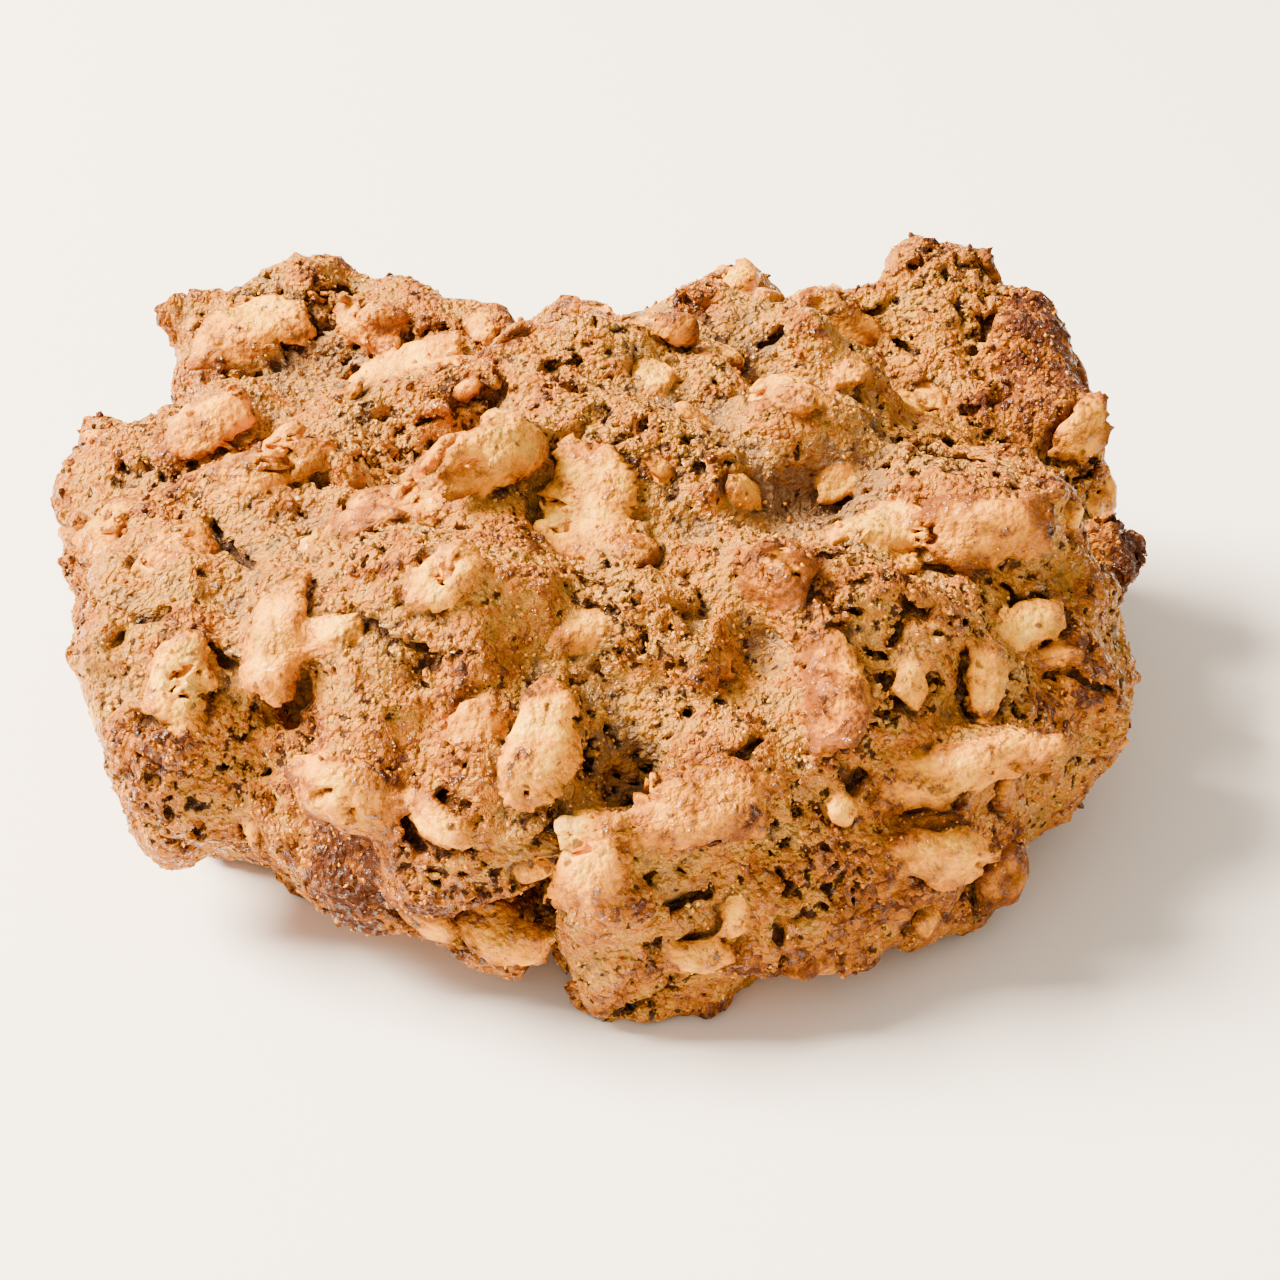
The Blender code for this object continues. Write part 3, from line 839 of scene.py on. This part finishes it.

# %% [markdown]
# ## Where it is toasted, and where shade and light are painted
#
# The oven and the sugar brown some lumps much more than others. These spots are placed like
# the flakes: across and up, how far they reach, and how much more or less toasted they are.

# %% Toasted and pale spots, and spots of painted shade and light
# Some spots are not toasting: they are painted shade on the shaded right side, the bottom left and the
# basin, and painted light on the lit left side and the knob.
TOAST_AND_PAINTED_LIGHT_SPOTS = {
    "orange lump": (11.7, 5.6, 3.6, 0.45),
    "orange bit": (-23.4, 11.3, 2.6, 0.4),
    "crown lump": (6.9, -12.0, 5.0, 0.35),
    "slab ridge": (16.9, -6.9, 4.0, 0.35),
    # Painted light: the knob, lit from above, made lighter.
    "knob": (26.8, 32.0, 6.0, -0.1),
    # Painted shade in the basin hollow: darker and greyer.
    "basin": (15.6, 13.0, 7.0, -0.35),
    # Painted shade on the lower right.
    "shaded lower right": (26.0, -21.0, 8.0, 0.32),
    # Painted shade on the right wall.
    "shaded right wall": (40.0, -4.0, 8.0, 0.2),
    "crease": (0.0, -4.5, 6.0, -0.12),
    "nut": (43.3, 7.4, 3.4, 0.8),
    # Painted shade on the shoulder, which faces away from the window.
    "shoulder": (33.8, 23.4, 7.0, 0.5),
    "right mound": (30.5, 10.5, 5.0, 0.2),
    # Painted light: the left crown, lit by the window, made lighter.
    "lit left crown": (-32.0, 26.0, 8.0, -0.1),
    "front": (6.0, -24.0, 7.0, -0.1),
    # Painted light: the left block, lit by the window, made lighter.
    "lit left block": (-44.0, 6.0, 7.0, -0.1),
    # Painted shade on the bottom left, under the overhanging dome.
    "shaded bottom left": (-25.0, -18.0, 8.0, 0.48),
}
CREST_TOAST_AND_HOLLOW_SHADE = 0.12
# The dough is made a little browner towards the foot, fading out at FOOT_HEIGHT.
BROWNER_TOWARDS_FOOT = 0.08
FOOT_HEIGHT = 14 * MM

places = np.empty(len(dough.data.vertices) * 3, dtype=np.float32)
dough.data.vertices.foreach_get("co", places)
places = places.reshape(-1, 3)
# Crests gain toasting; hollows lose it, which paints them darker and greyer as painted shade.
toast_and_painted_light = stored_values(dough.data, "crest") * CREST_TOAST_AND_HOLLOW_SHADE
toast_and_painted_light += BROWNER_TOWARDS_FOOT * np.clip(1 - places[:, 2] / FOOT_HEIGHT, 0, 1)
for across, up, reach, strength in TOAST_AND_PAINTED_LIGHT_SPOTS.values():
    spot = on_face(across, up)[0]
    away = np.linalg.norm(places - np.array(spot, dtype=np.float32), axis=1) / (reach * MM)
    toast_and_painted_light += strength * np.exp(-(away**2))
dough.data.attributes.new("toast_and_painted_light", "FLOAT", "POINT").data.foreach_set("value", toast_and_painted_light)
print("toast from", toast_and_painted_light.min().round(2), "to", toast_and_painted_light.max().round(2))

# %% [markdown]
# ## Baked dough and the oats in it
#
# Baked oat dough is a matte crumb of flour, fat and sugar. Its colour runs from grey-beige in the
# hollows through tan to orange-brown on the crests, uneven from grain to grain, with dark flecks
# of bran. The darker grey-beige of the hollows, the dark pores, the dark line round the flakes and
# some darker or lighter spots are painted shade and painted light. Fat and sugar make single grains
# glint, so its roughness is uneven too. Where a flake breaks through, the light meets starch
# instead: smoother and pale yellow, browned first at its rim and along its groove.

# %% Tones, and how they are mixed
# The ends of these tones also carry painted shade: hollows and the basin fall to the dark low end, the
# shaded right side and bottom left to the dark high end.
DOUGH_TONES = {
    0.0: "#84623E",
    0.2: "#9C6C2E",
    0.4: "#BE8424",
    0.55: "#B26E16",
    0.7: "#AC620A",
    0.85: "#8A4A0A",
    1.0: "#4E2204",
}
OAT_TONES = {
    0.0: "#FCC04A",
    0.22: "#FAB61A",
    0.45: "#F09C06",
    0.65: "#D08208",
    0.82: "#AE6408",
    1.0: "#7C4006",
}
BRAN = "#4E2610"
# The dark brown of painted shade in the pores, in deep places and in the cracks round the flakes.
PAINTED_SHADE_COLOUR = "#351807"
GREY_CRUMB = "#86603C"


def per_size(millimetres):
    """The texture scale for a pattern whose features are this far apart."""
    return 1 / (millimetres * MM)


def new_material(name):
    material = bpy.data.materials.new(name)
    material.use_nodes = True
    return material, material.node_tree, material.node_tree.nodes["Principled BSDF"]


def fill_ramp(colour, stops):
    """Gives the ramp that feeds this output its hex colours, by place from 0 to 1."""
    elements = colour.node.color_ramp.elements
    while len(elements) < len(stops):
        elements.new(0.5)
    for element, (position, hex_colour) in zip(elements, stops.items()):
        element.position = position
        element.color = linear(hex_colour)


def summed(tree, start, terms):
    """start plus each value's difference from its middle, times its weight."""
    total = start
    for value, middle, weight in terms:
        value = add(tree, MATH, {0: value, 1: middle}, operation="SUBTRACT")
        total = add(tree, MATH, {0: value, 1: weight, 2: total}, operation="MULTIPLY_ADD")
    return total


# The Mix node's colour inputs are numbers 6 and 7, and its colour output is number 2.
AS_COLOUR = {"data_type": "RGBA", "out": 2}
print(len(DOUGH_TONES), "tones of dough and", len(OAT_TONES), "of oat")

# %% [markdown]
# ## How toasted each place is, with its painted shade and light
#
# The stored toasting, which also holds painted shade and painted light, and the depth are stirred with
# patches, a mottle and single grains of grit. The sum picks a tone. Less toasted places turn a
# little grey, and flecks of bran lie over both.

# %% The dough's colour
PATCHES = 7.0
MOTTLE = 2.0
GRIT = 0.55
GREY_PATCHES = 5.0
STIR = 0.8
STIR_REACH = 0.9 * MM
FLECKS = 1.7
TOAST_START = 0.47

material, tree, surface = new_material("baked oat dough")
place = add(tree, "ShaderNodeTexCoord", out="Object")
names = ("depth", "toast_and_painted_light", "from_flake", "tone", "luck", "near")
known = [add(tree, ATTRIBUTE, out="Fac", attribute_name=name) for name in names]
depth, toast_and_painted_light, from_flake, tone, luck, near = known
flat = add(tree, ATTRIBUTE, out="Vector", attribute_name="flat")

patches = {"Vector": place, "Scale": per_size(PATCHES), "Detail": 3.0}
patches = add(tree, NOISE, patches, out="Fac")
mottle = {"Vector": place, "Scale": per_size(MOTTLE), "Detail": 5.0, "Roughness": 0.7}
mottle = add(tree, NOISE, mottle, out="Fac")
cells = add(tree, VORONOI, {"Vector": place, "Scale": per_size(GRIT)}, out="Distance")
grit = add(tree, "ShaderNodeSeparateColor", {"Color": cells.node.outputs["Color"]})
# The stored toasting holds painted shade and painted light as well as real browning, and so does the tone
# picked here.
toasted = summed(
    tree,
    TOAST_START,
    (
        (toast_and_painted_light, 0.0, 1.0),
        (depth, 0.0, 0.12),
        (patches, 0.5, 1.3),
        (mottle, 0.5, 1.6),
        (grit, 0.5, 0.4),
        (luck, 0.0, 0.6),
    ),
)
colour = add(tree, RAMP, {"Fac": toasted}, out="Color")
fill_ramp(colour, DOUGH_TONES)

# Grey patches lie at random, and more where the toasting is low, so they also grey the hollows and the basin
# as painted shade.
grey = {"Vector": place, "Scale": per_size(GREY_PATCHES), "Detail": 4.0, "Roughness": 0.7}
grey = add(tree, NOISE, grey, out="Fac")
grey = summed(tree, grey, ((toast_and_painted_light, 0.0, -0.6),))
grey = {"Value": grey, "From Min": 0.55, "From Max": 0.75, "To Max": 0.6}
grey = add(tree, MAP_RANGE, grey)
colour = add(tree, MIX, {"Factor": grey, 6: colour, 7: linear(GREY_CRUMB)}, **AS_COLOUR)

stir = add(tree, NOISE, {"Vector": place, "Scale": per_size(STIR), "Detail": 1.0}, out="Color")
stirred = add(tree, VECTOR_MATH, {0: stir, 1: (STIR_REACH,) * 3, 2: place}, operation="MULTIPLY_ADD")
fleck = add(tree, VORONOI, {"Vector": stirred, "Scale": per_size(FLECKS)}, out="Distance")
fleck = summed(tree, fleck, ((patches, 0.5, 0.6),))
fleck = {"Value": fleck, "From Min": 0.07, "From Max": 0.15, "To Min": 0.8, "To Max": 0.0}
fleck = add(tree, MAP_RANGE, fleck)
colour = add(tree, MIX, {"Factor": fleck, 6: colour, 7: linear(BRAN)}, **AS_COLOUR)
print("the dough's colour:", len(tree.nodes), "nodes")

# %% [markdown]
# ## Painted shade in pores, hollows and rims
#
# The pores are found with the same noise and the same limit as in the skin's field, so the painted
# shade falls into them. What lies deep gets painted shade too, and so does the line round a flake
# where the field has a moat, as a painted shadow in its crack.

# %% Painted shade in pores, hollows and rims
PORE_SHADE_EDGE = 0.014
DEEP_SHADE_RANGE = (-1.2, -0.4)

# Painted shade: the pores are coloured dark brown.
openness = {"Vector": place, "Scale": per_size(OPEN_PATCH), "Detail": 1.0, "Roughness": PATTERN_ROUGHNESS}
openness = add(tree, NOISE, openness, out="Fac")
openness = add(tree, MAP_RANGE, {"Value": openness, "From Min": OPEN_RANGE[0], "From Max": OPEN_RANGE[1]})
openness = add(tree, MATH, {0: openness, 1: near}, operation="ADD")
limit = {0: openness, 1: SKIN["Open"] - SKIN["Closed"], 2: SKIN["Closed"]}
limit = add(tree, MATH, limit, operation="MULTIPLY_ADD")
pore = {"Vector": place, "Scale": per_size(SKIN["Pore Size"]), "Detail": 3.0, "Roughness": PATTERN_ROUGHNESS}
pore = add(tree, NOISE, pore, out="Fac")
pore = add(tree, MATH, {0: limit, 1: pore}, operation="SUBTRACT")
pore = {"Value": pore, "From Min": -PORE_SHADE_EDGE, "From Max": PORE_SHADE_EDGE, "To Max": 0.95}
pore = add(tree, MAP_RANGE, pore)
colour = add(tree, MIX, {"Factor": pore, 6: colour, 7: linear(PAINTED_SHADE_COLOUR)}, **AS_COLOUR)

# Painted shade: what lies deep under the form is coloured dark brown.
low = summed(tree, depth, ((mottle, 0.5, 0.8),))
low = {"Value": low, "From Min": DEEP_SHADE_RANGE[0], "From Max": DEEP_SHADE_RANGE[1], "To Min": 0.92, "To Max": 0.0}
low = add(tree, MAP_RANGE, low)
colour = add(tree, MIX, {"Factor": low, 6: colour, 7: linear(PAINTED_SHADE_COLOUR)}, **AS_COLOUR)

# Painted shadow: a dark line in the crack round a flake, where the field has a moat.
rim_shadow = summed(tree, from_flake, ((mottle, 0.5, 2.0),))
rim_shadow = {"Value": rim_shadow, "From Min": 0.35, "From Max": 0.8, "To Min": 0.8, "To Max": 0.0}
rim_shadow = add(tree, MAP_RANGE, rim_shadow)
cracked = {"Vector": place, "Scale": per_size(MOAT_PATCH), "Detail": 1.0, "Roughness": PATTERN_ROUGHNESS}
cracked = add(tree, NOISE, cracked, out="Fac")
cracked = {"Value": cracked, "From Min": MOAT_RANGE[0], "From Max": MOAT_RANGE[1], "To Min": 0.1}
cracked = add(tree, MAP_RANGE, cracked)
rim_shadow = add(tree, MATH, {0: rim_shadow, 1: cracked}, operation="MULTIPLY")
colour = add(tree, MIX, {"Factor": rim_shadow, 6: colour, 7: linear(PAINTED_SHADE_COLOUR)}, **AS_COLOUR)
print("with dark places:", len(tree.nodes), "nodes")

# %% [markdown]
# ## The oats
#
# A flake toasts at its rim and along its groove first, more or less by its own tone. It shows
# where the skin lies on a flake, under a patchy dusting of dough.

# %% The oats' colour
DUSTING = 3.0

rim = add(tree, VECTOR_MATH, {0: flat, 1: (1, 1, 0)}, operation="MULTIPLY")
rim = add(tree, VECTOR_MATH, {0: rim}, out="Value", operation="LENGTH")
rim = {"Value": rim, "From Min": 0.5, "From Max": 1.05, "To Max": 0.4}
rim = add(tree, MAP_RANGE, rim)
groove = add(tree, "ShaderNodeSeparateXYZ", {0: flat}, out="Y")
groove = add(tree, MATH, {0: groove}, operation="ABSOLUTE")
groove = {"Value": groove, "From Max": 0.14, "To Min": 0.14, "To Max": 0.0}
groove = add(tree, MAP_RANGE, groove)
# The stored toasting brings its painted shade and light onto the oats as well.
oat_toast_and_painted_light = summed(
    tree,
    rim,
    (
        (groove, 0.0, 1.0),
        (tone, -0.38, 0.5),
        (mottle, 0.5, 2.0),
        (toast_and_painted_light, 0.0, 0.4),
        (patches, 0.5, 1.1),
    ),
)
oat_colour = add(tree, RAMP, {"Fac": oat_toast_and_painted_light}, out="Color")
fill_ramp(oat_colour, OAT_TONES)
oat_colour = add(tree, MIX, {"Factor": fleck, 6: oat_colour, 7: linear(BRAN)}, **AS_COLOUR)

is_oat = summed(tree, from_flake, ((mottle, 0.5, 1.2),))
is_oat = {"Value": is_oat, "From Min": 0.12, "From Max": 0.3, "To Min": 1.0, "To Max": 0.0}
is_oat = add(tree, MAP_RANGE, is_oat)
dusted = {"Vector": place, "Scale": per_size(DUSTING), "Detail": 4.0, "Roughness": 0.7}
dusted = add(tree, NOISE, dusted, out="Fac")
dusted = {"Value": dusted, "From Min": 0.4, "From Max": 0.55, "To Min": 0.5}
dusted = add(tree, MAP_RANGE, dusted)
is_oat = add(tree, MATH, {0: is_oat, 1: dusted}, operation="MULTIPLY")
colour = add(tree, MIX, {"Factor": is_oat, 6: colour, 7: oat_colour}, **AS_COLOUR)
tree.links.new(colour, surface.inputs["Base Color"])
print("with oats:", len(tree.nodes), "nodes")

# %% [markdown]
# ## Glints and fine relief
#
# Where fat and sugar came to the surface, single grains are smooth and have a moist coat. The
# grain of the dough is a bump, weaker on the oats.

# %% Shine and relief
GLINTS = 0.5
FINE_LUMPS = 1.0
RELIEF_HEIGHT = 0.55 * MM
COAT_ROUGHNESS = 0.12
WEAK_MIRROR = 0.15

glint = add(tree, NOISE, {"Vector": place, "Scale": per_size(GLINTS), "Detail": 2.0}, out="Fac")
roughness = {"Value": glint, "From Min": 0.5, "From Max": 0.6, "To Min": 0.75, "To Max": 0.12}
roughness = add(tree, MAP_RANGE, roughness)
tree.links.new(roughness, surface.inputs["Roughness"])
lumps = add(tree, VORONOI, {"Vector": place, "Scale": per_size(FINE_LUMPS)}, out="Distance")
height = summed(tree, glint, ((cells, 0.0, -0.8), (mottle, 0.5, 1.2), (lumps, 0.0, -0.5)))
smoother = add(tree, MAP_RANGE, {"Value": is_oat, "To Min": 1.0, "To Max": 0.4})
bump = {"Height": height, "Strength": smoother, "Distance": RELIEF_HEIGHT}
bump = add(tree, "ShaderNodeBump", bump)
tree.links.new(bump, surface.inputs["Normal"])
moist = {"Value": glint, "From Min": 0.52, "From Max": 0.6, "To Max": 0.8}
moist = add(tree, MAP_RANGE, moist)
moist = add(tree, MATH, {0: moist, 1: smoother}, operation="MULTIPLY")
tree.links.new(moist, surface.inputs["Coat Weight"])
tree.links.new(bump, surface.inputs["Coat Normal"])
surface.inputs["Coat Roughness"].default_value = COAT_ROUGHNESS
surface.inputs["Specular IOR Level"].default_value = WEAK_MIRROR
dough.data.materials.clear()
dough.data.materials.append(material)
print("dough material:", len(tree.nodes), "nodes")

# %% [markdown]
# ## Melted sugar
#
# Sugar and fat that boiled out of the dough set again as tiny clear amber beads. They are smooth,
# so each one catches the window, and together they make the crust glisten.

# %% The sugar's material
SUGAR_TONES = {0.0: "#F0B440", 0.5: "#D48418", 1.0: "#A0560A"}
SUGAR_ROUGHNESS = 0.14
SUGAR_MIRROR = 0.5

sugar, tree, surface = new_material("melted sugar")
place = add(tree, "ShaderNodeTexCoord", out="Object")
shade = add(tree, NOISE, {"Vector": place, "Scale": per_size(2), "Detail": 2.0}, out="Fac")
shade = add(tree, MAP_RANGE, {"Value": shade, "From Min": 0.3, "From Max": 0.7})
amber = add(tree, RAMP, {"Fac": shade}, out="Color")
fill_ramp(amber, SUGAR_TONES)
tree.links.new(amber, surface.inputs["Base Color"])
surface.inputs["Roughness"].default_value = SUGAR_ROUGHNESS
surface.inputs["Specular IOR Level"].default_value = SUGAR_MIRROR
print("sugar material:", len(tree.nodes), "nodes")

# %% [markdown]
# ## Crumbs and sugar beads
#
# Flour and sugar dry on the skin as separate grains. Geometry Nodes scatters small rounded grains
# of random size and turn over the skin, fewer on the smooth flakes and none near the underside.
# The larger ones, the crumbs, are the same dough: they carry over what the skin knows at their
# place, and each has its own luck, which makes it a little more or less toasted than the skin
# below. The smaller ones, called dust, are the beads of melted sugar.

# %% Grains on the skin
CRUMBS = {
    "Per Square Metre": 3.0e5,
    "Smallest": 0.16,
    "Largest": 0.42,
    "Segments": 6,
    "Rings": 3,
    "Seed": 3,
}
DUST = {
    "Per Square Metre": 1.1e6,
    "Smallest": 0.09,
    "Largest": 0.24,
    "Segments": 4,
    "Rings": 2,
    "Seed": 8,
}
GRAIN_PATCH = 6.0
CLEAR_FOOT = (0.6 * MM, 1.2 * MM)
NARROWEST = (0.7, 0.6, 0.4)
WIDEST = (1.6, 1.2, 0.9)
LUCK = 0.5

kinds = {name: "Int" if isinstance(value, int) else "Float" for name, value in CRUMBS.items()}
tree, given = new_tree("loose grains", kinds | {"Material": "Material"})
bare = add(tree, NAMED, {"Name": "from_flake"})
bare = add(tree, MAP_RANGE, {"Value": bare, "From Min": 0.1, "From Max": 0.6, "To Min": 0.12})
proud = add(tree, NAMED, {"Name": "depth"})
proud = add(tree, MAP_RANGE, {"Value": proud, "From Min": -0.9, "From Max": -0.2, "To Min": 0.1})
place = add(tree, "GeometryNodeInputPosition")
patchy = add(tree, NOISE, {"Vector": place, "Scale": per_size(GRAIN_PATCH), "Detail": 2.0}, out="Fac")
patchy = add(tree, MAP_RANGE, {"Value": patchy, "From Min": 0.4, "From Max": 0.6, "To Min": 0.15})
rise = add(tree, "ShaderNodeSeparateXYZ", {0: place}, out="Z")
rise = add(tree, MAP_RANGE, {"Value": rise, "From Min": CLEAR_FOOT[0], "From Max": CLEAR_FOOT[1]})
density = add(tree, MATH, {0: bare, 1: proud}, operation="MULTIPLY")
density = add(tree, MATH, {0: density, 1: rise}, operation="MULTIPLY")
density = add(tree, MATH, {0: density, 1: patchy}, operation="MULTIPLY")
density = add(tree, MATH, {0: density, 1: given["Per Square Metre"]}, operation="MULTIPLY")
feeds = {"Mesh": given["Geometry"], "Density": density, "Seed": given["Seed"]}
points = add(tree, "GeometryNodeDistributePointsOnFaces", feeds)
feeds = {2: given["Smallest"], 3: given["Largest"], "Seed": given["Seed"]}
size = add(tree, RANDOM, feeds, out=1)
size = add(tree, MATH, {0: size, 1: MM}, operation="MULTIPLY")
stretch = {0: NARROWEST, 1: WIDEST, "Seed": given["Seed"]}
stretch = add(tree, RANDOM, stretch, data_type="FLOAT_VECTOR")
stretch = add(tree, VECTOR_MATH, {0: stretch, "Scale": size}, operation="SCALE")
turned = {1: (math.tau,) * 3, "Seed": given["Seed"]}
turned = add(tree, RANDOM, turned, data_type="FLOAT_VECTOR")
ball = {"Segments": given["Segments"], "Rings": given["Rings"], "Radius": 1.0}
ball = add(tree, "GeometryNodeMeshUVSphere", ball)
feeds = {"Points": points, "Instance": ball, "Rotation": turned, "Scale": stretch}
grains = add(tree, "GeometryNodeInstanceOnPoints", feeds)
luck = add(tree, RANDOM, {2: -LUCK, 3: LUCK, "Seed": given["Seed"]}, out=1)
feeds = {"Geometry": grains, "Name": "luck", "Value": luck}
grains = add(tree, "GeometryNodeStoreNamedAttribute", feeds, domain="INSTANCE")
grains = add(tree, "GeometryNodeRealizeInstances", {"Geometry": grains})
grains = add(tree, "GeometryNodeSetMaterial", {"Geometry": grains, "Material": given["Material"]})
tree.links.new(grains, tree.nodes.new("NodeGroupOutput").inputs["Geometry"])

pieces = [dough]
for name, numbers, finish in (("crumbs", CRUMBS, material), ("dust", DUST, sugar)):
    piece = link_new(name, dough.data.copy())
    piece.data = run_tree(piece, tree, numbers | {"Material": finish})
    piece.data.shade_smooth()
    pieces.append(piece)
    triangles = sum(len(face.vertices) - 2 for face in piece.data.polygons)
    print(name, len(piece.data.polygons), "faces,", triangles, "triangles")

# %% [markdown]
# ## Handing the pieces over
#
# All three pieces ride the one body, and the skin takes the solid's place. The helper objects
# are removed.

# %% Finish
for piece in pieces:
    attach(piece, "root")
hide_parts("oat_cookie")
for leftover in (form, flakes, open_places, *flake_shapes.objects):
    bpy.data.objects.remove(leftover)
bpy.data.collections.remove(flake_shapes)
